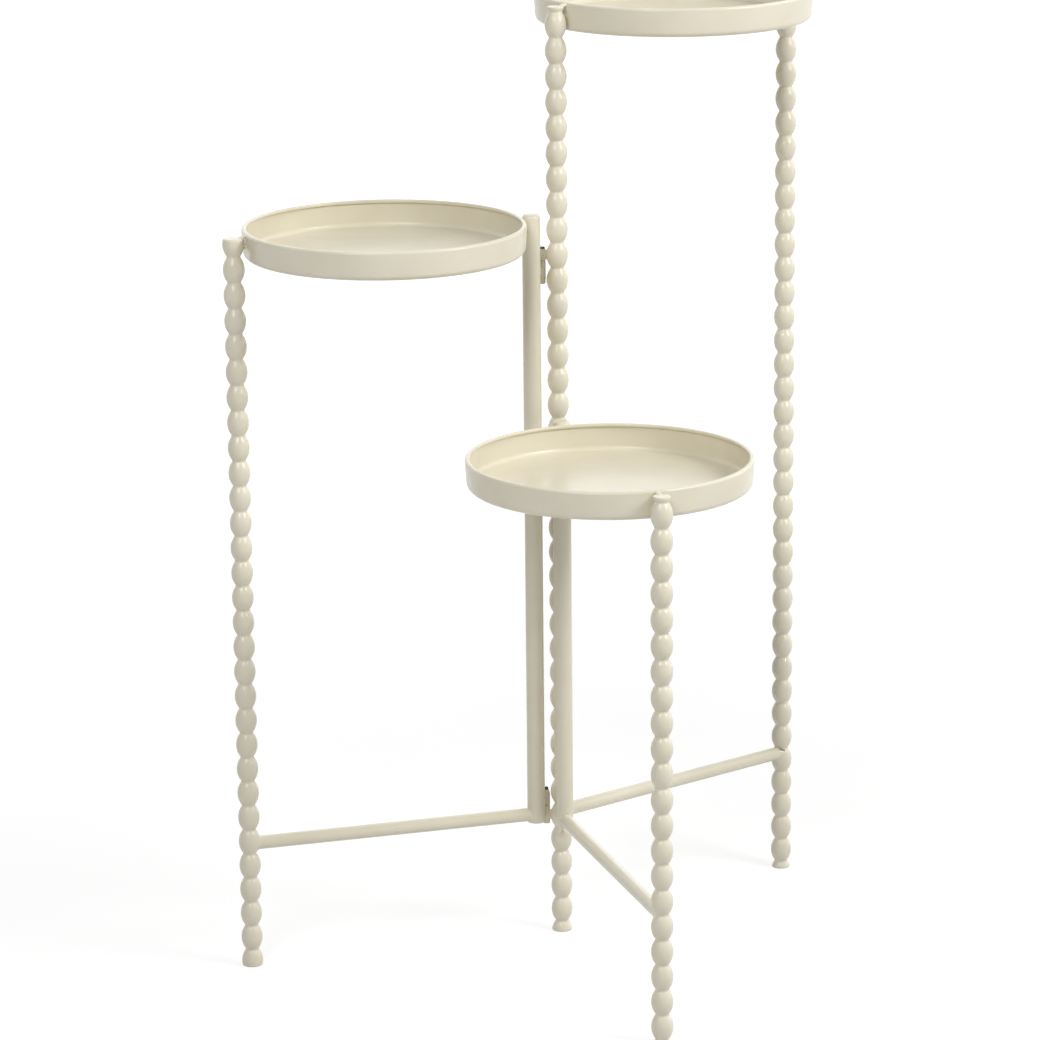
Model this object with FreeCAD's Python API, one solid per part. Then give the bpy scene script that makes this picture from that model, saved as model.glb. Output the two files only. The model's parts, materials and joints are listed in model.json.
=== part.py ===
import FreeCAD
import Part
import math
import os

from FreeCAD import Vector

# Folding plant stand with three round trays, in millimetres, +Z up.
# The origin is the centre leg's axis at floor level. The tall leaf stays still,
# the left and front leaves swing on pins beside the centre leg.

# Beaded tube of the legs
bead_pitch = 22.5
crown_dia = 19.0
waist_dia = 12.0
waist_round = 2.0
tube_wall = 1.2
plug_thickness = 3.0
plug_play = 0.25
foot_round = 0.8
top_round = 0.5
leg_drop = 4.2

# Depth of the highest waist of each leg below its tray's rim
centre_top_waist = 6.9
tall_top_waist = 9.8
left_top_waist = 19.4
front_top_waist = 7.1

# Plain posts and stretchers
post_dia = 16.0
post_bottom = 107.0
post_rise = 1.5
cap_height = 5.0
cap_round = 4.0
cap_spigot = 6.0
bar_dia = 12.0
bar_height = 114.0

# Round pressed trays with a rolled rim
tray_dia = 247.0
tray_depth = 25.0
sheet = 1.0
rim_bead_dia = 3.2
tray_corner = 6.5
tall_rim = 848.5
left_rim = 664.5
front_rim = 482.5

# Pegs and rim welds that hold a tray between its uprights
peg_dia = 4.4
peg_drop = 10.8
peg_gap = 0.8
weld_dia = 3.0
weld_reach = 4.0

# Directions of the leaves in plan, degrees from +X
tall_angle = 37.45
left_angle = 195.4
front_angle = -73.4

# Hinges: directions in plan from the leg to the pin and from the pin to the post
left_pin_angle = 167.2
left_post_angle = 228.9
front_pin_angle = -66.25
front_post_angle = 254.6
knuckle_dia = 6.4
leg_hinge_gap = 0.9
left_post_gap = 3.4
front_post_gap = 0.9
upper_knuckle = 10.5
lower_knuckle = 17.0
knuckle_gap = 0.3
lug_width = 4.0
lug_height = 8.0
hinge_drop = 37.0
pin_dia = 3.6
pin_play = 0.05
pin_recess = 1.5
head_dia = 6.0
head_height = 4.0
head_round = 1.5

up = Vector(0, 0, 1)


def direction(angle):
    return Vector(math.cos(math.radians(angle)), math.sin(math.radians(angle)), 0)


def at_height(point, height):
    return Vector(point.x, point.y, height)


# Plan layout, worked out from the centre leg outwards
crown_reach = crown_dia / 2 + peg_gap + tray_dia / 2
post_reach = post_dia / 2 + peg_gap + tray_dia / 2
pin_reach = crown_dia / 2 + leg_hinge_gap + knuckle_dia / 2

centre_leg = Vector(0, 0, 0)
tall_tray_centre = direction(tall_angle) * crown_reach
tall_outer = direction(tall_angle) * (2 * crown_reach)

left_pin = direction(left_pin_angle) * pin_reach
left_post = left_pin + direction(left_post_angle) * (knuckle_dia / 2 + left_post_gap + post_dia / 2)
left_tray_centre = left_post + direction(left_angle) * post_reach
left_outer = left_tray_centre + direction(left_angle) * crown_reach

front_pin = direction(front_pin_angle) * pin_reach
front_post = front_pin + direction(front_post_angle) * (knuckle_dia / 2 + front_post_gap + post_dia / 2)
front_tray_centre = front_post + direction(front_angle) * post_reach
front_outer = front_tray_centre + direction(front_angle) * crown_reach


def rod(start, end, dia):
    axis = end - start
    return Part.makeCylinder(dia / 2, axis.Length, start, axis)


def turned(edges, place):
    face = Part.Face(Part.Wire(edges))
    solid = face.revolve(Vector(0, 0, 0), up, 360)
    solid.translate(place)
    return solid


def polygon(points):
    return [Part.makeLine(a, b) for a, b in zip(points, points[1:])]


def slab(place, low, high):
    return Part.makeCylinder(crown_dia, high - low, at_height(place, low))


# One bead of the leg's outer line, from one waist up to the next.
# The crown arc and the waist rounds are tangent to each other.
def bead_edges(waist_height):
    half = bead_pitch / 2
    swell = (crown_dia - waist_dia) / 2
    centres_apart = (swell**2 + half**2) / (2 * swell)
    crown_radius = centres_apart - waist_round
    crown_r = crown_dia / 2
    waist_r = waist_dia / 2
    middle = waist_height + half
    slope = math.asin(half / centres_apart)
    tangent_r = crown_r - crown_radius + crown_radius * math.cos(slope)
    tangent_rise = crown_radius * math.sin(slope)
    turn_r = waist_r + waist_round - waist_round * math.cos(slope / 2)
    turn_rise = half - waist_round * math.sin(slope / 2)
    lower = Part.Arc(
        Vector(waist_r, 0, waist_height),
        Vector(turn_r, 0, middle - turn_rise),
        Vector(tangent_r, 0, middle - tangent_rise),
    )
    crown = Part.Arc(
        Vector(tangent_r, 0, middle - tangent_rise),
        Vector(crown_r, 0, middle),
        Vector(tangent_r, 0, middle + tangent_rise),
    )
    upper = Part.Arc(
        Vector(tangent_r, 0, middle + tangent_rise),
        Vector(turn_r, 0, middle + turn_rise),
        Vector(waist_r, 0, waist_height + bead_pitch),
    )
    return [arc.toShape() for arc in (lower, crown, upper)]


# The beads hang from the tray, so a taller leg gains beads at its foot
def waist_heights(rim, top_waist):
    highest = rim - top_waist
    below = math.ceil(highest / bead_pitch)
    above = math.ceil(top_waist / bead_pitch)
    return [highest + bead_pitch * step for step in range(-below, above + 1)]


def end_circle(shape, height):
    circles = [edge for edge in shape.Edges if edge.isClosed()]
    return min(circles, key=lambda edge: abs(edge.BoundBox.Center.z - height))


# The leg as a full bar, for fitting what is welded to it
def beaded_bar(place, rim, top_waist):
    waists = waist_heights(rim, top_waist)
    edges = []
    for waist in waists[:-1]:
        edges += bead_edges(waist)
    waist_r = waist_dia / 2
    low = waists[0]
    high = waists[-1]
    edges += polygon([Vector(waist_r, 0, high), Vector(0, 0, high), Vector(0, 0, low), Vector(waist_r, 0, low)])
    top = rim - leg_drop
    bar = turned(edges, place).common(slab(place, 0, top))
    bar = bar.makeFillet(foot_round, [end_circle(bar, 0)])
    return bar.makeFillet(top_round, [end_circle(bar, top)])


# The space inside the tube, whose wall follows the beads as plain cones
def beaded_bore(place, rim, top_waist, play=0):
    waists = waist_heights(rim, top_waist)
    waist_r = waist_dia / 2 - tube_wall - play
    crown_r = crown_dia / 2 - tube_wall - play
    points = [Vector(0, 0, waists[0]), Vector(waist_r, 0, waists[0])]
    for waist in waists[:-1]:
        points.append(Vector(crown_r, 0, waist + bead_pitch / 2))
        points.append(Vector(waist_r, 0, waist + bead_pitch))
    points += [Vector(0, 0, waists[-1]), Vector(0, 0, waists[0])]
    return turned(polygon(points), place).common(slab(place, 0, rim - leg_drop))


def make_leg(place, rim, top_waist):
    top = rim - leg_drop
    bar = beaded_bar(place, rim, top_waist)
    bore = beaded_bore(place, rim, top_waist)
    core = beaded_bore(place, rim, top_waist, plug_play)
    foot_plug = core.common(slab(place, 0, plug_thickness))
    top_plug = core.common(slab(place, top - plug_thickness, top))
    return {"bar": bar, "tube": bar.cut(bore), "plugs": [foot_plug, top_plug]}


def make_post(place, rim):
    top = rim + post_rise - cap_height
    low = at_height(place, post_bottom)
    high = at_height(place, top)
    bore_dia = post_dia - 2 * tube_wall
    outside = rod(low, high, post_dia)
    tube = outside.cut(rod(low, high, bore_dia))
    head = rod(high, high + up * cap_height, post_dia)
    rim_edge = max(head.Edges, key=lambda edge: edge.BoundBox.ZMin)
    head = head.makeFillet(cap_round, [rim_edge])
    spigot = rod(high - up * cap_spigot, high, bore_dia)
    return {"bar": outside, "tube": tube, "cap": head.fuse(spigot).removeSplitter()}


# Pan turned in one piece: floor, rounded corner, wall and rolled rim
def make_tray(centre, rim):
    bead_r = rim_bead_dia / 2
    wall_middle = tray_dia / 2 - bead_r
    outer = wall_middle + sheet / 2
    inner = wall_middle - sheet / 2
    low = rim - tray_depth
    floor = low + sheet
    inner_corner = tray_corner - sheet
    bead_foot = rim - bead_r - math.sqrt(bead_r**2 - (sheet / 2) ** 2)
    mid_arc = 1 - math.sqrt(0.5)
    outside_arc = Part.Arc(
        Vector(outer - tray_corner, 0, low),
        Vector(outer - tray_corner * mid_arc, 0, low + tray_corner * mid_arc),
        Vector(outer, 0, low + tray_corner),
    )
    rim_arc = Part.Arc(Vector(outer, 0, bead_foot), Vector(wall_middle, 0, rim), Vector(inner, 0, bead_foot))
    inside_arc = Part.Arc(
        Vector(inner, 0, floor + inner_corner),
        Vector(inner - inner_corner * mid_arc, 0, floor + inner_corner * mid_arc),
        Vector(inner - inner_corner, 0, floor),
    )
    edges = polygon([Vector(0, 0, floor), Vector(0, 0, low), Vector(outer - tray_corner, 0, low)])
    edges.append(outside_arc.toShape())
    edges += polygon([Vector(outer, 0, low + tray_corner), Vector(outer, 0, bead_foot)])
    edges.append(rim_arc.toShape())
    edges += polygon([Vector(inner, 0, bead_foot), Vector(inner, 0, floor + inner_corner)])
    edges.append(inside_arc.toShape())
    edges += polygon([Vector(inner - inner_corner, 0, floor), Vector(0, 0, floor)])
    return turned(edges, centre)


# Peg from an upright to the tray's wall, shaped to both
def make_peg(upright, place, centre, rim):
    height = rim - peg_drop
    wall_r = tray_dia / 2 - rim_bead_dia / 2 + sheet / 2
    pan = Part.makeCylinder(wall_r, tray_depth, at_height(centre, rim - tray_depth))
    peg = rod(at_height(place, height), at_height(centre, height), peg_dia)
    return peg.cut(upright).cut(pan)


# Weld that climbs from a leg's top to the rolled rim
def make_rim_weld(leg, place, centre, rim, tray):
    inward = (centre - place).normalize()
    bead_r = rim_bead_dia / 2
    start = at_height(place, rim - leg_drop) + inward * weld_reach
    end = at_height(centre, rim - bead_r) - inward * (tray_dia / 2 - bead_r)
    run = rod(start, end, weld_dia).fuse(Part.makeSphere(weld_dia / 2, start))
    return run.cut(leg).cut(tray)


# Stretcher tube with its ends shaped to the uprights
def make_bar(start, end, uprights):
    low = at_height(start, bar_height)
    high = at_height(end, bar_height)
    bar = rod(low, high, bar_dia).cut(rod(low, high, bar_dia - 2 * tube_wall))
    for upright in uprights:
        bar = bar.cut(upright)
    return bar


def nearest_crown(height):
    top_waist = tall_rim - centre_top_waist
    step = round((height - top_waist) / bead_pitch - 0.5)
    return top_waist + (step + 0.5) * bead_pitch


# Short tube on the pin with a lug that reaches the upright
def make_knuckle(pin, place, upright, low, height, bore_dia):
    reach = place - pin
    lug = Part.makeBox(reach.Length, lug_width, lug_height)
    lug.translate(Vector(0, -lug_width / 2, low + (height - lug_height) / 2))
    lug.rotate(Vector(0, 0, 0), up, math.degrees(math.atan2(reach.y, reach.x)))
    lug.translate(pin)
    barrel = rod(at_height(pin, low), at_height(pin, low + height), knuckle_dia)
    hole = rod(at_height(pin, low), at_height(pin, low + height), bore_dia)
    return barrel.fuse(lug).removeSplitter().cut(upright).cut(hole)


# Pin with its head against one end of the leaf's knuckle
def make_pin(pin, head_at, tip, outward):
    base = at_height(pin, head_at)
    crown = base + up * (head_height * outward)
    head = rod(base, crown, head_dia)
    far_edge = max(head.Edges, key=lambda edge: edge.CenterOfMass.z * outward)
    head = head.makeFillet(head_round, [far_edge])
    return head.fuse(rod(base, at_height(pin, tip), pin_dia)).removeSplitter()


# Upper hinge: the leg's knuckle is above. Lower hinge: the leaf's is above.
# The pin is tight in the leaf's knuckle and turns in the leg's.
def make_hinge(pin, leg, post, post_place, leg_crown, leg_above):
    leg_bore = pin_dia + 2 * pin_play
    if leg_above:
        leg_low = leg_crown - upper_knuckle / 2
        leaf_low = leg_low - knuckle_gap - lower_knuckle
        leg_part = make_knuckle(pin, centre_leg, leg, leg_low, upper_knuckle, leg_bore)
        leaf_part = make_knuckle(pin, post_place, post, leaf_low, lower_knuckle, pin_dia)
        pin_part = make_pin(pin, leaf_low, leg_low + upper_knuckle - pin_recess, -1)
    else:
        leg_low = leg_crown - lower_knuckle / 2
        leaf_low = leg_low + lower_knuckle + knuckle_gap
        leg_part = make_knuckle(pin, centre_leg, leg, leg_low, lower_knuckle, leg_bore)
        leaf_part = make_knuckle(pin, post_place, post, leaf_low, upper_knuckle, pin_dia)
        pin_part = make_pin(pin, leaf_low + upper_knuckle, leg_low + pin_recess, 1)
    return {"leg_knuckle": leg_part, "leaf_knuckle": leaf_part, "pin": pin_part}


def tall_leaf():
    centre = make_leg(centre_leg, tall_rim, centre_top_waist)
    outer = make_leg(tall_outer, tall_rim, tall_top_waist)
    tray = make_tray(tall_tray_centre, tall_rim)
    legs = [(centre["bar"], centre_leg), (outer["bar"], tall_outer)]
    pegs = [make_peg(bar, place, tall_tray_centre, tall_rim) for bar, place in legs]
    welds = [make_rim_weld(bar, place, tall_tray_centre, tall_rim, tray) for bar, place in legs]
    nodes = {
        "centre_leg": centre["tube"],
        "tall_outer_leg": outer["tube"],
        "tall_leg_plugs": Part.makeCompound(centre["plugs"] + outer["plugs"]),
        "tall_tray": tray,
        "tall_tray_pegs": Part.makeCompound(pegs),
        "tall_rim_welds": Part.makeCompound(welds),
        "tall_stretcher": make_bar(centre_leg, tall_outer, [centre["bar"], outer["bar"]]),
    }
    return nodes, centre["bar"]


def swing_leaf(name, leg_bar, pin, post_place, tray_centre, outer_place, rim, top_waist):
    post = make_post(post_place, rim)
    outer = make_leg(outer_place, rim, top_waist)
    tray = make_tray(tray_centre, rim)
    pegs = [
        make_peg(post["bar"], post_place, tray_centre, rim),
        make_peg(outer["bar"], outer_place, tray_centre, rim),
    ]
    nodes = {
        name + "_outer_leg": outer["tube"],
        name + "_leg_plugs": Part.makeCompound(outer["plugs"]),
        name + "_inner_post": post["tube"],
        name + "_post_cap": post["cap"],
        name + "_tray": tray,
        name + "_tray_pegs": Part.makeCompound(pegs),
        name + "_rim_weld": make_rim_weld(outer["bar"], outer_place, tray_centre, rim, tray),
        name + "_stretcher": make_bar(post_place, outer_place, [post["bar"], outer["bar"]]),
    }
    levels = {
        "upper": (nearest_crown(rim - hinge_drop), True),
        "lower": (nearest_crown(bar_height), False),
    }
    for level, (crown, leg_above) in levels.items():
        hinge = make_hinge(pin, leg_bar, post["bar"], post_place, crown, leg_above)
        for piece, shape in hinge.items():
            nodes[f"{name}_{level}_{piece}"] = shape
    return nodes


nodes, leg_bar = tall_leaf()
nodes.update(
    swing_leaf("left", leg_bar, left_pin, left_post, left_tray_centre, left_outer, left_rim, left_top_waist)
)
nodes.update(
    swing_leaf("front", leg_bar, front_pin, front_post, front_tray_centre, front_outer, front_rim, front_top_waist)
)

os.makedirs("parts", exist_ok=True)
for name, shape in nodes.items():
    shape.exportStep(f"parts/{name}.step")
    valid = all(solid.isValid() for solid in shape.Solids)
    print(f"{name}: {len(shape.Solids)} solids, {shape.Volume:.0f} mm3, valid {valid}")
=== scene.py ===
import json
import math

import bmesh
import bpy
from mathutils import Matrix, Quaternion, Vector, noise


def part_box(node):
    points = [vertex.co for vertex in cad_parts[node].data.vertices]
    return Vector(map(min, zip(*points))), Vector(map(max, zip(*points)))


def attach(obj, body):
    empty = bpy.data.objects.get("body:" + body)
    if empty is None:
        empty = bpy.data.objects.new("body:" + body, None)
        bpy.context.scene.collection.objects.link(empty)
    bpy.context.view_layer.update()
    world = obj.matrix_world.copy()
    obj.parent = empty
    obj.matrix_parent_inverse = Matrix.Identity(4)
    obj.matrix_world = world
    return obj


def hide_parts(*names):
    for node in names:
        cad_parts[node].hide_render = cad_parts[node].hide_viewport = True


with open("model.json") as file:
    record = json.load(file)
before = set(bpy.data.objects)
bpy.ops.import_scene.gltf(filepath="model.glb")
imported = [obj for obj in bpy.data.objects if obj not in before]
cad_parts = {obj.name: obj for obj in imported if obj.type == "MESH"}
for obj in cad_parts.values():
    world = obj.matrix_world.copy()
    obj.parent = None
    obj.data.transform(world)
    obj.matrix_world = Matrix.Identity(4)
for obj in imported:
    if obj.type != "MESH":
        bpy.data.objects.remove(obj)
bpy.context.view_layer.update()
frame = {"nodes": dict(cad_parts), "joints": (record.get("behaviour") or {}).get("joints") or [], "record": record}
scene = bpy.context.scene
mm = 0.001
up = Vector((0, 0, 1))
mergeWithin = 0.002 * mm  # points of a turned shape this close become one
sharpFrom = {"turned": 38, "coped": 60, "weld": 80}  # degrees from which an edge shows as sharp
print("frame loaded,", len(frame["nodes"]), "nodes")

# places of the pieces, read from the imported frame
mountAt = {mount["name"]: Vector(mount["pos_m"]) for mount in frame["record"]["mounts"]}
pinAt = {joint["child"]: Vector(joint["pos_m"]) for joint in frame["joints"]}


def boxMiddle(node):
    low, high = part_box(node)
    return (low + high) / 2


def rimOf(leaf):
    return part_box(leaf + "_tray")[1].z


# outline drawing in the XZ plane: x is the distance from the axis, z the height
def penDown(bm, across, height):
    return bm.verts.new((across, 0, height))


def lineTo(bm, pen, across, height):
    tip = bmesh.ops.extrude_vert_indiv(bm, verts=[pen])["verts"][0]
    tip.co = (across, 0, height)
    return tip


def arcTo(bm, pen, across, height, degrees, steps):
    made = bmesh.ops.spin(
        bm, geom=[pen], cent=(across, 0, height), axis=(0, -1, 0),
        angle=math.radians(degrees), steps=steps,
    )
    return next(part for part in made["geom_last"] if isinstance(part, bmesh.types.BMVert))


# the outline goes once round the Z axis and becomes a closed turned shape
def turnOutline(bm, steps, place=None):
    bmesh.ops.spin(
        bm, geom=bm.verts[:] + bm.edges[:], cent=(0, 0, 0), axis=(0, 0, 1),
        angle=2 * math.pi, steps=steps, use_merge=True,
    )
    bmesh.ops.remove_doubles(bm, verts=bm.verts, dist=mergeWithin)
    bmesh.ops.recalc_face_normals(bm, faces=bm.faces)
    if place is not None:
        bmesh.ops.translate(bm, verts=bm.verts, vec=(place.x, place.y, 0))
    return bm


def gather(parts):
    whole = bmesh.new()
    for part in parts:
        scrap = bpy.data.meshes.new("scrap")
        part.to_mesh(scrap)
        part.free()
        whole.from_mesh(scrap)
        bpy.data.meshes.remove(scrap)
    return whole


def keepPiece(name, bm, finish, body, nodes=(), edges="turned"):
    mesh = bpy.data.meshes.new(name)
    bm.to_mesh(mesh)
    bm.free()
    mesh.shade_smooth()
    mesh.set_sharp_from_angle(angle=math.radians(sharpFrom[edges]))
    mesh.materials.append(finish["material"])
    piece = bpy.data.objects.new(name, mesh)
    scene.collection.objects.link(piece)
    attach(piece, body)
    if nodes:
        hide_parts(*nodes)


# finishes
def startFinish(name):
    material = bpy.data.materials.new(name)
    material.use_nodes = True
    tree = material.node_tree
    place = tree.nodes.new("ShaderNodeTexCoord").outputs["Object"]
    return material, tree, tree.nodes["Principled BSDF"], place


def noiseOn(tree, place, scale, detail=1):
    texture = tree.nodes.new("ShaderNodeTexNoise")
    texture.inputs["Scale"].default_value = scale
    texture.inputs["Detail"].default_value = detail
    tree.links.new(place, texture.inputs["Vector"])
    return texture.outputs["Fac"]


def spread(tree, source, fromLow, fromHigh, toLow, toHigh):
    node = tree.nodes.new("ShaderNodeMapRange")
    limits = {"From Min": fromLow, "From Max": fromHigh, "To Min": toLow, "To Max": toHigh}
    for socket, value in limits.items():
        node.inputs[socket].default_value = value
    tree.links.new(source, node.inputs["Value"])
    return node.outputs["Result"]


def blendColours(tree, share, first, second):
    node = tree.nodes.new("ShaderNodeMix")
    node.data_type = "RGBA"
    tree.links.new(share, node.inputs["Factor"])
    # inputs 6 and 7 and output 2 are the node's colour sockets
    node.inputs[6].default_value = (*first, 1)
    node.inputs[7].default_value = (*second, 1)
    return node.outputs[2]


def bumpOn(tree, height, strength, distance, under=None):
    node = tree.nodes.new("ShaderNodeBump")
    node.inputs["Strength"].default_value = strength
    node.inputs["Distance"].default_value = distance
    tree.links.new(height, node.inputs["Height"])
    if under is not None:
        tree.links.new(under, node.inputs["Normal"])
    return node.outputs["Normal"]


paint = {
    "light": (0.767, 0.720, 0.584),
    "deep": (0.740, 0.688, 0.545),
    "cloudScale": 26,
    "cloudDetail": 4,
    "cloudRange": (0.35, 0.70),
    "glossScale": 18,
    "glossRange": (0.3, 0.7),
    "roughness": (0.20, 0.26),
    "specular": 0.40,
    "peelScale": 620,
    "peelDepth": 0.02 * mm,
    "waveScale": 34,
    "waveDepth": 0.3 * mm,
    "bump": 0.35,
}


def powderCoat():
    material, tree, shader, place = startFinish("creamPowderCoat")
    cloud = noiseOn(tree, place, paint["cloudScale"], paint["cloudDetail"])
    sheen = noiseOn(tree, place, paint["glossScale"])
    peel = noiseOn(tree, place, paint["peelScale"])
    wave = noiseOn(tree, place, paint["waveScale"])
    clouds = spread(tree, cloud, *paint["cloudRange"], 0, 1)
    colour = blendColours(tree, clouds, paint["light"], paint["deep"])
    tree.links.new(colour, shader.inputs["Base Color"])
    gloss = spread(tree, sheen, *paint["glossRange"], *paint["roughness"])
    tree.links.new(gloss, shader.inputs["Roughness"])
    shader.inputs["Specular IOR Level"].default_value = paint["specular"]
    wavy = bumpOn(tree, wave, paint["bump"], paint["waveDepth"])
    peeled = bumpOn(tree, peel, paint["bump"], paint["peelDepth"], wavy)
    tree.links.new(peeled, shader.inputs["Normal"])
    return {"material": material, "slot": "cream_paint"}


steel = {
    "dark": (0.055, 0.050, 0.042),
    "worn": (0.20, 0.18, 0.15),
    "stainScale": 500,
    "stainDetail": 4,
    "stainRange": (0.5, 0.75),
    "scratchScale": 900,
    "scratchDetail": 3,
    "scratchDepth": 0.03 * mm,
    "glossRange": (0.3, 0.7),
    "roughness": (0.28, 0.55),
    "bump": 0.3,
}


def burnishedSteel():
    material, tree, shader, place = startFinish("burnishedPinSteel")
    stain = noiseOn(tree, place, steel["stainScale"], steel["stainDetail"])
    scratch = noiseOn(tree, place, steel["scratchScale"], steel["scratchDetail"])
    worn = spread(tree, stain, *steel["stainRange"], 0, 1)
    colour = blendColours(tree, worn, steel["dark"], steel["worn"])
    tree.links.new(colour, shader.inputs["Base Color"])
    gloss = spread(tree, scratch, *steel["glossRange"], *steel["roughness"])
    tree.links.new(gloss, shader.inputs["Roughness"])
    shader.inputs["Metallic"].default_value = 1
    turned = bumpOn(tree, scratch, steel["bump"], steel["scratchDepth"])
    tree.links.new(turned, shader.inputs["Normal"])
    return {"material": material, "slot": "pin_steel"}


cream = powderCoat()
pinSteel = burnishedSteel()
print("finishes ready")

# beaded legs: crowns and waists are arcs tangent to each other
leg = {
    "pitch": 22.5 * mm,
    "crown": 19.0 * mm,
    "waist": 12.0 * mm,
    "waistRound": 2.0 * mm,
    "footRound": 0.8 * mm,
    "lip": 1.5 * mm,
    "lipRound": 0.2 * mm,
    "fillet": 2.4 * mm,  # weld round a stretcher's end
    "shortestArc": 0.01 * mm,
    "crownSteps": 14,
    "waistSteps": 3,
    "footSteps": 4,
    "lipSteps": 3,
    "topSteps": 8,
    "steps": 48,
}
# in mm: depth of the highest waist below the tray's rim, height of the closed neck, rounding of its edge
legs = {
    "centre": {"node": "centre_leg", "leaf": "tall", "topWaist": 6.9, "neck": 2.0, "topRound": 0.8},
    "tall": {"node": "tall_outer_leg", "leaf": "tall", "topWaist": 9.8, "neck": 1.0, "topRound": 0.8},
    "left": {"node": "left_outer_leg", "leaf": "left", "topWaist": 19.4, "neck": 0.8, "topRound": 1.9},
    "front": {"node": "front_outer_leg", "leaf": "front", "topWaist": 7.1, "neck": 2.0, "topRound": 0.8},
}
half = leg["pitch"] / 2
swell = (leg["crown"] - leg["waist"]) / 2
centresApart = (swell**2 + half**2) / (2 * swell)
crownRadius = centresApart - leg["waistRound"]
beadSlope = math.asin(half / centresApart)
crownRise = crownRadius * math.sin(beadSlope)
for name, one in legs.items():
    one["place"] = mountAt[name + "_foot"]
    one["waistAt"] = rimOf(one["leaf"]) - one["topWaist"] * mm
    one["top"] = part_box(one["node"])[1].z + one["neck"] * mm
    one["shoulder"] = one["top"] - one["topRound"] * mm
    one["beadsEnd"] = min(one["shoulder"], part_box(one["node"])[1].z)


def beadRadius(height, waistAt):
    away = abs((height - waistAt) % leg["pitch"] - half)
    if away < crownRise:
        return leg["crown"] / 2 - crownRadius + math.sqrt(crownRadius**2 - away**2)
    return leg["waist"] / 2 + leg["waistRound"] - math.sqrt(leg["waistRound"]**2 - (half - away)**2)


def drawBeads(bm, pen, low, high, waistAt):
    base = waistAt - leg["pitch"] * math.ceil((waistAt - low) / leg["pitch"])
    crownAcross = leg["crown"] / 2 - crownRadius
    waistAcross = leg["waist"] / 2 + leg["waistRound"]
    while base < high:
        middle, above = base + half, base + leg["pitch"]
        crownLow, crownHigh = middle - crownRise, middle + crownRise
        arcs = [
            (waistAcross, base, leg["waistRound"], base, crownLow, -1, leg["waistSteps"]),
            (crownAcross, middle, crownRadius, crownLow, crownHigh, 1, leg["crownSteps"]),
            (waistAcross, above, leg["waistRound"], crownHigh, above, -1, leg["waistSteps"]),
        ]
        for across, height, radius, arcLow, arcHigh, sense, steps in arcs:
            start, end = max(arcLow, low), min(arcHigh, high)
            if end - start < leg["shortestArc"]:
                continue
            sweep = math.asin((end - height) / radius) - math.asin((start - height) / radius)
            share = (end - start) / (arcHigh - arcLow)
            degrees, cuts = math.degrees(sweep) * sense, max(1, round(steps * share))
            pen = arcTo(bm, pen, across, height, degrees, cuts)
        base = above
    return pen


# a leg's top is closed; its foot is open by the plug's depth, with a rounded lip round the plug
plug = {
    "depth": 1.2 * mm,
    "sink": 0.15 * mm,
    "gap": 0.08 * mm,
    "headroom": 0.02 * mm,
    "round": 0.3 * mm,
    "roundSteps": 4,
}


def makeLegTube(one):
    foot, lip = leg["footRound"], leg["lipRound"]
    waistAt, topRound = one["waistAt"], one["topRound"] * mm
    footRadius = beadRadius(foot, waistAt)
    neckRadius = beadRadius(one["beadsEnd"], waistAt)
    one["footBore"] = footRadius - foot - leg["lip"]
    bm = bmesh.new()
    pen = penDown(bm, 0, plug["depth"])
    pen = lineTo(bm, pen, one["footBore"], plug["depth"])
    pen = lineTo(bm, pen, one["footBore"], lip)
    pen = arcTo(bm, pen, one["footBore"] + lip, lip, 90, leg["lipSteps"])
    pen = lineTo(bm, pen, footRadius - foot, 0)
    pen = arcTo(bm, pen, footRadius - foot, foot, 90, leg["footSteps"])
    pen = drawBeads(bm, pen, foot, one["beadsEnd"], waistAt)
    if one["shoulder"] > one["beadsEnd"]:
        pen = lineTo(bm, pen, neckRadius, one["shoulder"])
    pen = arcTo(bm, pen, neckRadius - topRound, one["shoulder"], 90, leg["topSteps"])
    lineTo(bm, pen, 0, one["top"])
    return turnOutline(bm, leg["steps"], one["place"])


def makeFootPlug(one):
    edge, sink = plug["round"], plug["sink"]
    radius, high = one["footBore"] - plug["gap"], plug["depth"] - plug["headroom"]
    bm = bmesh.new()
    pen = penDown(bm, 0, sink)
    pen = lineTo(bm, pen, radius - edge, sink)
    pen = arcTo(bm, pen, radius - edge, sink + edge, 90, plug["roundSteps"])
    pen = lineTo(bm, pen, radius, high)
    lineTo(bm, pen, 0, high)
    return turnOutline(bm, leg["steps"], one["place"])


for name, one in legs.items():
    keepPiece(name + "BeadedLeg", makeLegTube(one), cream, one["leaf"] + "_leaf", [one["node"]])
tallPlugs = gather([makeFootPlug(legs[name]) for name in ("centre", "tall")])
keepPiece("tallLegPlugs", tallPlugs, cream, "tall_leaf", ["tall_leg_plugs"])
for leaf in ("left", "front"):
    keepPiece(leaf + "LegPlugs", makeFootPlug(legs[leaf]), cream, leaf + "_leaf", [leaf + "_leg_plugs"])
print("legs made")

# plain posts with a rounded cap
post = {
    "radius": 8.0 * mm,
    "wall": 1.2 * mm,
    "edge": 0.35 * mm,
    "capRound": 4.0 * mm,
    "seam": 0.25 * mm,
    "fillet": 1.0 * mm,  # weld round a stretcher's end
    "edgeSteps": 3,
    "capSteps": 10,
    "steps": 64,
}
posts = {}
for leaf in ("left", "front"):
    low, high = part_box(leaf + "_inner_post")
    posts[leaf] = {"place": boxMiddle(leaf + "_inner_post"), "low": low.z, "high": high.z}
    posts[leaf]["top"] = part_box(leaf + "_post_cap")[1].z


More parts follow.
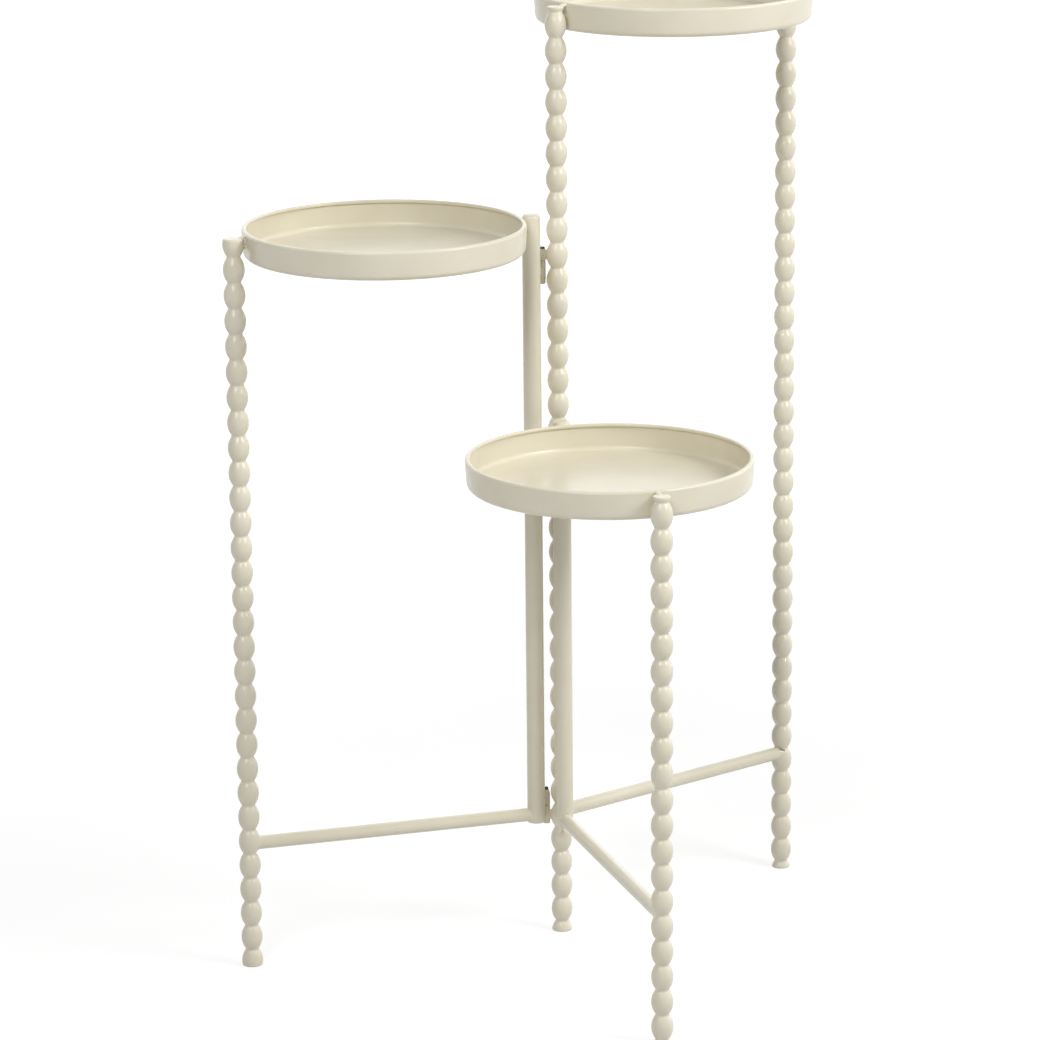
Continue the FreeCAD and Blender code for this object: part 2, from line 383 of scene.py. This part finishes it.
def makePostTube(one):
    radius, edge, seam = post["radius"], post["edge"], post["seam"]
    bore = radius - post["wall"]
    bm = bmesh.new()
    start = pen = penDown(bm, bore, one["low"])
    pen = lineTo(bm, pen, radius - edge, one["low"])
    pen = arcTo(bm, pen, radius - edge, one["low"] + edge, 90, post["edgeSteps"])
    pen = lineTo(bm, pen, radius, one["high"] - seam)
    pen = lineTo(bm, pen, radius - seam, one["high"])
    pen = lineTo(bm, pen, bore, one["high"])
    bm.edges.new((pen, start))
    return turnOutline(bm, post["steps"], one["place"])


def makePostCap(one):
    radius, seam, capRound = post["radius"], post["seam"], post["capRound"]
    bm = bmesh.new()
    pen = penDown(bm, 0, one["high"])
    pen = lineTo(bm, pen, radius - seam, one["high"])
    pen = lineTo(bm, pen, radius, one["high"] + seam)
    pen = lineTo(bm, pen, radius, one["top"] - capRound)
    pen = arcTo(bm, pen, radius - capRound, one["top"] - capRound, 90, post["capSteps"])
    lineTo(bm, pen, 0, one["top"])
    return turnOutline(bm, post["steps"], one["place"])


for leaf, one in posts.items():
    keepPiece(leaf + "InnerPost", makePostTube(one), cream, leaf + "_leaf", [leaf + "_inner_post"])
    keepPiece(leaf + "PostCap", makePostCap(one), cream, leaf + "_leaf", [leaf + "_post_cap"])
print("posts made")

# pressed trays: flat floor, rounded corner, upright wall and a rim rolled inwards
tray = {
    "radius": 123.5 * mm,
    "depth": 25.0 * mm,
    "sheet": 1.0 * mm,
    "rimBead": 3.2 * mm,
    "rimHang": 2.1 * mm,
    "rimThick": 3.2 * mm,
    "rimInner": 1.3 * mm,
    "rimOuter": 2.3 * mm,
    "corner": 5.0 * mm,
    "cornerSteps": 10,
    "rimSteps": 7,
    "floorRings": 6,
    "steps": 240,
}
wallMiddle = tray["radius"] - tray["rimBead"] / 2
wallFoot = wallMiddle + tray["sheet"] / 2
wallRise = tray["depth"] - tray["corner"] - tray["rimOuter"]
draft = math.atan((tray["radius"] - wallFoot) / wallRise)


def wallOuter(drop):
    return tray["radius"] - (drop - tray["rimOuter"]) * math.tan(draft)


def makeTray(leaf):
    rim, steps = rimOf(leaf), tray["rimSteps"]
    low = rim - tray["depth"]
    floorHeight = low + tray["sheet"]
    inner = wallMiddle - tray["sheet"] / 2
    innerCorner = tray["corner"] - tray["sheet"]
    rimUnder = rim - tray["rimThick"]
    lip, roll = tray["rimInner"], tray["rimOuter"]
    lipAcross, rollAcross = inner - tray["rimHang"] + lip, tray["radius"] - roll
    bm = bmesh.new()
    pen = penDown(bm, 0, floorHeight)
    for ring in range(1, tray["floorRings"] + 1):
        pen = lineTo(bm, pen, (inner - innerCorner) * ring / tray["floorRings"], floorHeight)
    pen = arcTo(bm, pen, inner - innerCorner, floorHeight + innerCorner, 90, tray["cornerSteps"])
    pen = lineTo(bm, pen, inner, rimUnder)
    pen = lineTo(bm, pen, lipAcross, rimUnder)
    pen = arcTo(bm, pen, lipAcross, rimUnder + lip, -90, steps)
    pen = lineTo(bm, pen, lipAcross - lip, rim - lip)
    pen = arcTo(bm, pen, lipAcross, rim - lip, -90, steps)
    pen = lineTo(bm, pen, rollAcross, rim)
    pen = arcTo(bm, pen, rollAcross, rim - roll, -90 - math.degrees(draft), steps + 1)
    pen = lineTo(bm, pen, wallFoot, low + tray["corner"])
    pen = arcTo(bm, pen, wallFoot - tray["corner"], low + tray["corner"], -90, tray["cornerSteps"])
    for ring in range(tray["floorRings"] - 1, -1, -1):
        pen = lineTo(bm, pen, (wallFoot - tray["corner"]) * ring / tray["floorRings"], low)
    return turnOutline(bm, tray["steps"], mountAt[leaf + "_tray_floor"])


for leaf in ("tall", "left", "front"):
    keepPiece(leaf + "TrayPan", makeTray(leaf), cream, leaf + "_leaf", [leaf + "_tray"])
print("trays made")


# uprights that carry a tray or a stretcher: place, radius at a height, lowest height and weld fillet
def legSurface(name):
    one = legs[name]
    return {
        "place": one["place"],
        "radiusAt": lambda height: beadRadius(height, one["waistAt"]),
        "low": 0,
        "fillet": leg["fillet"],
    }


def postSurface(leaf):
    one = posts[leaf]
    return {
        "place": one["place"],
        "radiusAt": lambda height: post["radius"],
        "low": one["low"],
        "fillet": post["fillet"],
    }


uprights = {
    "tall": [legSurface("centre"), legSurface("tall")],
    "left": [postSurface("left"), legSurface("left")],
    "front": [postSurface("front"), legSurface("front")],
}


# a turned shape drawn upright is laid along a run from start to end
def layAlong(bm, start, end):
    turn = up.rotation_difference((end - start).normalized()).to_matrix().to_4x4()
    bmesh.ops.transform(bm, verts=bm.verts, matrix=Matrix.Translation(start) @ turn)
    return bm


# short pegs between an upright and the tray's wall, with a weld flare at each end
peg = {
    "radius": 2.2 * mm,
    "drop": 10.8 * mm,  # below the rim
    "flare": 0.9 * mm,
    "seat": 0.4 * mm,
    "flareSteps": 5,
    "steps": 32,
}


def makePeg(upright, leaf):
    place, radiusAt = upright["place"], upright["radiusAt"]
    height = rimOf(leaf) - peg["drop"]
    centre = mountAt[leaf + "_tray_floor"].xy
    inward = (centre - place.xy).normalized()
    reach = (centre - place.xy).length - wallOuter(peg["drop"]) + peg["seat"]
    begin = radiusAt(height) - peg["seat"]
    length, flare, radius = reach - begin, peg["flare"], peg["radius"]
    bm = bmesh.new()
    pen = penDown(bm, 0, 0)
    pen = lineTo(bm, pen, radius + flare, 0)
    pen = arcTo(bm, pen, radius + flare, flare, -90, peg["flareSteps"])
    if length > 2 * flare:
        pen = lineTo(bm, pen, radius, length - flare)
    pen = arcTo(bm, pen, radius + flare, length - flare, -90, peg["flareSteps"])
    lineTo(bm, pen, 0, length)
    turnOutline(bm, peg["steps"])
    start = (place.xy + inward * begin).to_3d() + up * height
    return layAlong(bm, start, start + inward.to_3d())


# weld that climbs from a leg's top to the rolled rim
rimWeld = {
    "radius": 1.5 * mm,
    "widen": 1.9,
    "reach": 5.2 * mm,  # from the leg's axis to the weld's foot
    "sink": 0.7 * mm,
    "lump": 0.12 * mm,
    "lumpSize": 1.6 * mm,
    "rings": 12,
    "endSteps": 6,
    "steps": 24,
}


def makeRimWeld(one):
    place, centre = one["place"].xy, mountAt[one["leaf"] + "_tray_floor"].xy
    low, high = one["top"] - rimWeld["sink"], rimOf(one["leaf"]) - tray["rimBead"] / 2
    inward = (centre - place).normalized()
    start = (place + inward * rimWeld["reach"]).to_3d() + up * low
    end = (centre - inward * wallMiddle).to_3d() + up * high
    length, radius = (end - start).length, rimWeld["radius"]
    bm = bmesh.new()
    pen = penDown(bm, 0, -radius)
    pen = arcTo(bm, pen, 0, 0, 90, rimWeld["endSteps"])
    for ring in range(1, rimWeld["rings"] + 1):
        pen = lineTo(bm, pen, radius, length * ring / rimWeld["rings"])
    arcTo(bm, pen, 0, length, 90, rimWeld["endSteps"])
    turnOutline(bm, rimWeld["steps"])
    facing = Matrix.Rotation(-math.atan2(inward.y, inward.x), 4, "Z")
    bmesh.ops.scale(bm, verts=bm.verts, vec=(1, rimWeld["widen"], 1), space=facing)
    layAlong(bm, start, end)
    for vert in bm.verts:
        lump = 1 + noise.noise(vert.co / rimWeld["lumpSize"])
        vert.co -= vert.normal * rimWeld["lump"] * lump
    return bm


for leaf, pair in uprights.items():
    pegs = gather([makePeg(upright, leaf) for upright in pair])
    keepPiece(leaf + "TrayPegs", pegs, cream, leaf + "_leaf", [leaf + "_tray_pegs"])
tallWelds = gather([makeRimWeld(legs[name]) for name in ("centre", "tall")])
keepPiece("tallRimWelds", tallWelds, cream, "tall_leaf", ["tall_rim_welds"], "weld")
for leaf in ("left", "front"):
    weld = makeRimWeld(legs[leaf])
    keepPiece(leaf + "RimWeld", weld, cream, leaf + "_leaf", [leaf + "_rim_weld"], "weld")
print("pegs and rim welds made")

# stretchers: round tubes whose ends follow the uprights and flow into them with a weld fillet
bar = {
    "radius": 6.0 * mm,
    "seat": 0.3 * mm,
    "sideShare": 0.985,  # most of an upright's radius that a fillet may reach to the side
    "filletRings": 6,
    "segments": 64,
}


def copedPoint(upright, along, turn, swellOut, outward, height):
    radius = bar["radius"] + swellOut
    spot = max(height + radius * math.sin(turn), upright["low"] + bar["seat"])
    limit = upright["radiusAt"](spot) * bar["sideShare"]
    across = max(-limit, min(limit, radius * math.cos(turn)))
    reach = math.sqrt(upright["radiusAt"](spot)**2 - across**2) - bar["seat"] + outward
    return upright["place"].xy.to_3d() + up * spot + up.cross(along) * across + along * reach


# drawn one unit long, then each ring of points goes to its own place along the bar
def makeStretcher(pair, height):
    along = (pair[1]["place"].xy - pair[0]["place"].xy).normalized().to_3d()
    rings = bar["filletRings"]
    bm = bmesh.new()
    bmesh.ops.create_cone(
        bm, cap_ends=True, segments=bar["segments"],
        radius1=bar["radius"], radius2=bar["radius"], depth=1,
    )
    runs = [edge for edge in bm.edges if abs(edge.verts[0].co.z - edge.verts[1].co.z) > 0.5]
    bmesh.ops.subdivide_edges(bm, edges=runs, cuts=2 * rings)
    for vert in bm.verts:
        step = round((vert.co.z + 0.5) * (2 * rings + 1))
        nearEnd = step > rings
        upright = pair[1] if nearEnd else pair[0]
        share = math.radians(90 * (2 * rings + 1 - step if nearEnd else step) / rings)
        turn = math.atan2(vert.co.y, -vert.co.x if nearEnd else vert.co.x)
        swellOut = upright["fillet"] * (1 - math.sin(share))
        outward = upright["fillet"] * (1 - math.cos(share))
        vert.co = copedPoint(upright, -along if nearEnd else along, turn, swellOut, outward, height)
    bmesh.ops.recalc_face_normals(bm, faces=bm.faces)
    return bm


for leaf, pair in uprights.items():
    stretcher = makeStretcher(pair, boxMiddle(leaf + "_stretcher").z)
    keepPiece(leaf + "Stretcher", stretcher, cream, leaf + "_leaf", [leaf + "_stretcher"], "coped")
print("stretchers made")

# hinges: a knuckle on the leg, a knuckle on the leaf's post, and a pin through both
knuckle = {
    "radius": 3.2 * mm,
    "bore": 1.85 * mm,
    "sink": 0.75 * mm,  # countersink of the bore
    "edge": 0.3 * mm,
    "edgeSteps": 4,
    "lugWidth": 4.0 * mm,
    "lugHeight": 8.0 * mm,
    "lugStart": 2.4 * mm,
    "lugEdge": 0.7 * mm,
    "lugEdgeSteps": 3,
    "shortestRun": 0.1 * mm,  # along the lug, below which an edge is left as it is
    "lugFlare": 1.35,
    "flareLength": 1.2 * mm,
    "seat": 0.8 * mm,  # depth of the lug in the upright
    "steps": 40,
}
pin = {
    "radius": 1.8 * mm,
    "headRadius": 3.0 * mm,
    "headHeight": 4.0 * mm,
    "headRound": 1.5 * mm,
    "collarFoot": 0.5 * mm,
    "collarRadius": 1.9 * mm,
    "tipEdge": 0.3 * mm,
    "tipSink": 0.25 * mm,
    "roundSteps": 8,
    "steps": 40,
}
# bare upper ends of the pins: a button over the leg's knuckle, a dome on the painted collar
pinEnds = {
    "upper": {"radius": 2.6 * mm, "height": 1.4 * mm, "round": 1.0 * mm, "gap": 0.05 * mm},
    "lower": {"radius": 1.7 * mm, "height": 2.6 * mm, "round": 1.4 * mm, "gap": 0},
}


def makeBarrel(place, low, high):
    radius, bore, sink = knuckle["radius"], knuckle["bore"], knuckle["sink"]
    edge, edgeSteps = knuckle["edge"], knuckle["edgeSteps"]
    bm = bmesh.new()
    start = pen = penDown(bm, bore + sink, low)
    pen = lineTo(bm, pen, radius - edge, low)
    pen = arcTo(bm, pen, radius - edge, low + edge, 90, edgeSteps)
    pen = lineTo(bm, pen, radius, high - edge)
    pen = arcTo(bm, pen, radius - edge, high - edge, 90, edgeSteps)
    pen = lineTo(bm, pen, bore + sink, high)
    pen = lineTo(bm, pen, bore, high - sink)
    pen = lineTo(bm, pen, bore, low + sink)
    bm.edges.new((pen, start))
    return turnOutline(bm, knuckle["steps"], place)


def makeLug(place, upright, middle):
    apart = upright["place"].xy - place.xy
    outward = apart.normalized()
    length = apart.length - upright["radiusAt"](middle) + knuckle["seat"] - knuckle["lugStart"]
    size = Vector((length - knuckle["flareLength"], knuckle["lugWidth"], knuckle["lugHeight"]))
    bm = bmesh.new()
    bmesh.ops.create_cube(bm, size=1)
    bmesh.ops.scale(bm, verts=bm.verts, vec=size)
    bmesh.ops.translate(bm, verts=bm.verts, vec=(size.x / 2 + knuckle["lugStart"], 0, 0))
    bm.normal_update()
    end = max(bm.faces, key=lambda face: face.normal.x)  # the face towards the upright
    flare = bmesh.ops.extrude_discrete_faces(bm, faces=[end])["faces"][0]
    bmesh.ops.translate(bm, verts=flare.verts, vec=(knuckle["flareLength"], 0, 0))
    wide = knuckle["lugFlare"]
    bmesh.ops.scale(bm, verts=flare.verts, vec=(1, wide, 1 + (wide - 1) / 2))
    shortest = knuckle["shortestRun"]
    runs = [edge for edge in bm.edges if abs((edge.verts[0].co - edge.verts[1].co).x) > shortest]
    bmesh.ops.bevel(
        bm, geom=runs, offset=knuckle["lugEdge"], offset_type="OFFSET",
        segments=knuckle["lugEdgeSteps"], profile=0.5, affect="EDGES", material=-1,
    )
    turn = Matrix.Rotation(math.atan2(outward.y, outward.x), 4, "Z")
    spot = Matrix.Translation((place.x, place.y, middle))
    bmesh.ops.transform(bm, verts=bm.verts, matrix=spot @ turn)
    bmesh.ops.recalc_face_normals(bm, faces=bm.faces)
    return bm


# painted head below the upper hinge
def makePinHead(place, headAt):
    headRadius, headRound = pin["headRadius"], pin["headRound"]
    low = headAt - pin["headHeight"]
    bm = bmesh.new()
    pen = penDown(bm, 0, low)
    pen = lineTo(bm, pen, headRadius - headRound, low)
    pen = arcTo(bm, pen, headRadius - headRound, low + headRound, 90, pin["roundSteps"])
    pen = lineTo(bm, pen, headRadius, headAt)
    lineTo(bm, pen, 0, headAt)
    return turnOutline(bm, pin["steps"], place)


# painted collar that tapers from the lower hinge up to the bare end
def makePinCollar(place, headAt):
    edge, top = pin["tipEdge"], headAt + pin["headHeight"]
    bm = bmesh.new()
    pen = penDown(bm, 0, headAt)
    pen = lineTo(bm, pen, pin["headRadius"], headAt)
    pen = lineTo(bm, pen, pin["headRadius"], headAt + pin["collarFoot"])
    pen = lineTo(bm, pen, pin["collarRadius"] + edge, top - edge)
    pen = lineTo(bm, pen, pin["collarRadius"], top)
    lineTo(bm, pen, 0, top)
    return turnOutline(bm, pin["steps"], place)


# bare shaft with its own end on top
def makePinShaft(place, low, endAt, end):
    radius, edge = pin["radius"], pin["tipEdge"]
    top = endAt + end["height"]
    bm = bmesh.new()
    pen = penDown(bm, 0, low)
    pen = lineTo(bm, pen, radius - edge, low)
    pen = lineTo(bm, pen, radius, low + edge)
    pen = lineTo(bm, pen, radius, endAt)
    pen = lineTo(bm, pen, end["radius"], endAt)
    pen = lineTo(bm, pen, end["radius"], top - end["round"])
    pen = arcTo(bm, pen, end["radius"] - end["round"], top - end["round"], 90, pin["roundSteps"])
    lineTo(bm, pen, 0, top)
    return turnOutline(bm, pin["steps"], place)


for leaf in ("left", "front"):
    place = pinAt[leaf + "_leaf"]
    sides = {
        "leg": ("tall_leaf", legSurface("centre")),
        "leaf": (leaf + "_leaf", postSurface(leaf)),
    }
    for level in ("upper", "lower"):
        for side, (body, upright) in sides.items():
            node = f"{leaf}_{level}_{side}_knuckle"
            low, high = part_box(node)[0].z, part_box(node)[1].z
            parts = gather([makeBarrel(place, low, high), makeLug(place, upright, (low + high) / 2)])
            keepPiece(leaf + level.title() + side.title() + "Knuckle", parts, cream, body, [node])
        node, end = f"{leaf}_{level}_pin", pinEnds[level]
        legLow, legHigh = (corner.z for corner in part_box(f"{leaf}_{level}_leg_knuckle"))
        pinLow, pinHigh = (corner.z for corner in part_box(node))
        if level == "upper":
            headAt = pinLow + pin["headHeight"]
            head = makePinHead(place, headAt)
            shaft = makePinShaft(place, headAt, legHigh + end["gap"], end)
        else:
            head = makePinCollar(place, pinHigh - pin["headHeight"])
            shaft = makePinShaft(place, legLow + pin["tipSink"], pinHigh + end["gap"], end)
        name = leaf + level.title() + "Pin"
        keepPiece(name + "Head", head, cream, leaf + "_leaf")
        keepPiece(name, shaft, pinSteel, leaf + "_leaf", [node])
print("hinges made")

# pale floor that keeps the shadow, and a white surrounding; the floor's glow grows with the
# distance from the middle, from the first lift to the second within the two reaches
floor = {
    "size": 20,
    "drop": 0.1 * mm,
    "bounce": 0.74,
    "shown": 0.34,
    "lift": (0.74, 0.94),
    "liftReach": (0.6, 2.6),
}
surround = {"fill": 0.06, "shown": 1.0}


def seenRays(tree):
    path = tree.nodes.new("ShaderNodeLightPath")
    share = path.outputs["Is Camera Ray"]
    for kind in ("Is Glossy Ray", "Is Transmission Ray"):
        larger = tree.nodes.new("ShaderNodeMath")
        larger.operation = "MAXIMUM"
        tree.links.new(share, larger.inputs[0])
        tree.links.new(path.outputs[kind], larger.inputs[1])
        share = larger.outputs[0]
    return share


def mixShaders(tree, share, first, second, output):
    mixer = tree.nodes.new("ShaderNodeMixShader")
    tree.links.new(share, mixer.inputs[0])
    tree.links.new(first, mixer.inputs[1])
    tree.links.new(second, mixer.inputs[2])
    tree.links.new(mixer.outputs[0], output.inputs["Surface"])


def makeFloor():
    bm = bmesh.new()
    bmesh.ops.create_grid(bm, x_segments=1, y_segments=1, size=floor["size"])
    bmesh.ops.translate(bm, verts=bm.verts, vec=(0, 0, -floor["drop"]))
    mesh = bpy.data.meshes.new("studioFloor")
    bm.to_mesh(mesh)
    bm.free()
    ground = bpy.data.objects.new("studioFloor", mesh)
    scene.collection.objects.link(ground)
    material = bpy.data.materials.new("paleFloor")
    material.use_nodes = True
    tree = material.node_tree
    tree.nodes.clear()
    output = tree.nodes.new("ShaderNodeOutputMaterial")
    bounce = tree.nodes.new("ShaderNodeBsdfDiffuse")
    bounce.inputs["Color"].default_value = (*[floor["bounce"]] * 3, 1)
    shown = tree.nodes.new("ShaderNodeBsdfDiffuse")
    shown.inputs["Color"].default_value = (*[floor["shown"]] * 3, 1)
    away = tree.nodes.new("ShaderNodeVectorMath")
    away.operation = "LENGTH"
    place = tree.nodes.new("ShaderNodeTexCoord").outputs["Object"]
    tree.links.new(place, away.inputs[0])
    glow = spread(tree, away.outputs["Value"], *floor["liftReach"], *floor["lift"])
    lift = tree.nodes.new("ShaderNodeEmission")
    tree.links.new(glow, lift.inputs["Strength"])
    both = tree.nodes.new("ShaderNodeAddShader")
    tree.links.new(shown.outputs[0], both.inputs[0])
    tree.links.new(lift.outputs[0], both.inputs[1])
    mixShaders(tree, seenRays(tree), bounce.outputs[0], both.outputs[0], output)
    mesh.materials.append(material)


def makeSurround():
    world = bpy.data.worlds.new("studio")
    world.use_nodes = True
    tree = world.node_tree
    tree.nodes.clear()
    output = tree.nodes.new("ShaderNodeOutputWorld")
    fill = tree.nodes.new("ShaderNodeBackground")
    fill.inputs["Strength"].default_value = surround["fill"]
    shown = tree.nodes.new("ShaderNodeBackground")
    shown.inputs["Strength"].default_value = surround["shown"]
    for background in (fill, shown):
        background.inputs["Color"].default_value = (1, 1, 1, 1)
    mixShaders(tree, seenRays(tree), fill.outputs[0], shown.outputs[0], output)
    scene.world = world


# soft lamps: direction from the trays, width in degrees, share of a fully lit white;
# a lamp with a reach is a round panel that far away, and loses strength towards the feet
lampAim = Vector((0, 0, 0.62))
sunDistance = 3
lamps = {
    "keyLamp": {"towards": (0.88, -0.47, 0.64), "width": 24, "share": 0.50, "reach": 2.4},
    "frontLamp": {"towards": (-0.38, -0.92, 0.72), "width": 24, "share": 0.35, "reach": 2.4},
    "rightLamp": {"towards": (0.94, 0.34, 0.36), "width": 60, "share": 0.32},
    "topLamp": {"towards": (0.00, -0.10, 1.00), "width": 110, "share": 0.14},
    "fillLamp": {"towards": (-0.40, -0.90, 0.15), "width": 100, "share": 0.09},
    "backLamp": {"towards": (-0.15, 0.95, 0.45), "width": 90, "share": 0.27},
}


def makeLamp(name, one):
    towards, angle = Vector(one["towards"]).normalized(), math.radians(one["width"])
    if "reach" in one:
        data = bpy.data.lights.new(name, "AREA")
        data.shape = "DISK"
        data.size = 2 * one["reach"] * math.tan(angle / 2)
        data.energy = one["share"] * (math.pi * one["reach"] / math.cos(angle / 2)) ** 2
    else:
        data = bpy.data.lights.new(name, "SUN")
        data.angle = angle
        data.energy = one["share"] * math.pi
    lamp = bpy.data.objects.new(name, data)
    lamp.rotation_mode = "QUATERNION"
    lamp.rotation_quaternion = towards.to_track_quat("Z", "Y")
    lamp.location = lampAim + towards * one.get("reach", sunDistance)
    scene.collection.objects.link(lamp)


makeFloor()
makeSurround()
for name, one in lamps.items():
    makeLamp(name, one)
print("floor and light ready")

# place in metres, angles in degrees, lens and sensor in millimetres
view = {
    "place": (-0.0820, -3.6459, 1.3529),
    "pitch": 14.830,
    "yaw": 0.740,
    "roll": -0.570,
    "lens": 146.4,
    "sensor": 36,
    "farClip": 60,
}


def makeCamera():
    data = bpy.data.cameras.new("photoCamera")
    data.lens = view["lens"]
    data.sensor_width = view["sensor"]
    data.clip_end = view["farClip"]
    camera = bpy.data.objects.new("photoCamera", data)
    pitch, yaw = math.radians(view["pitch"]), math.radians(view["yaw"])
    ahead = math.cos(pitch)
    forward = Vector((math.sin(yaw) * ahead, math.cos(yaw) * ahead, -math.sin(pitch)))
    camera.rotation_mode = "QUATERNION"
    level = forward.to_track_quat("-Z", "Y")
    camera.rotation_quaternion = level @ Quaternion((0, 0, 1), math.radians(view["roll"]))
    camera.location = view["place"]
    scene.collection.objects.link(camera)
    scene.camera = camera


makeCamera()
scene.view_settings.view_transform = "Standard"
print("camera set")
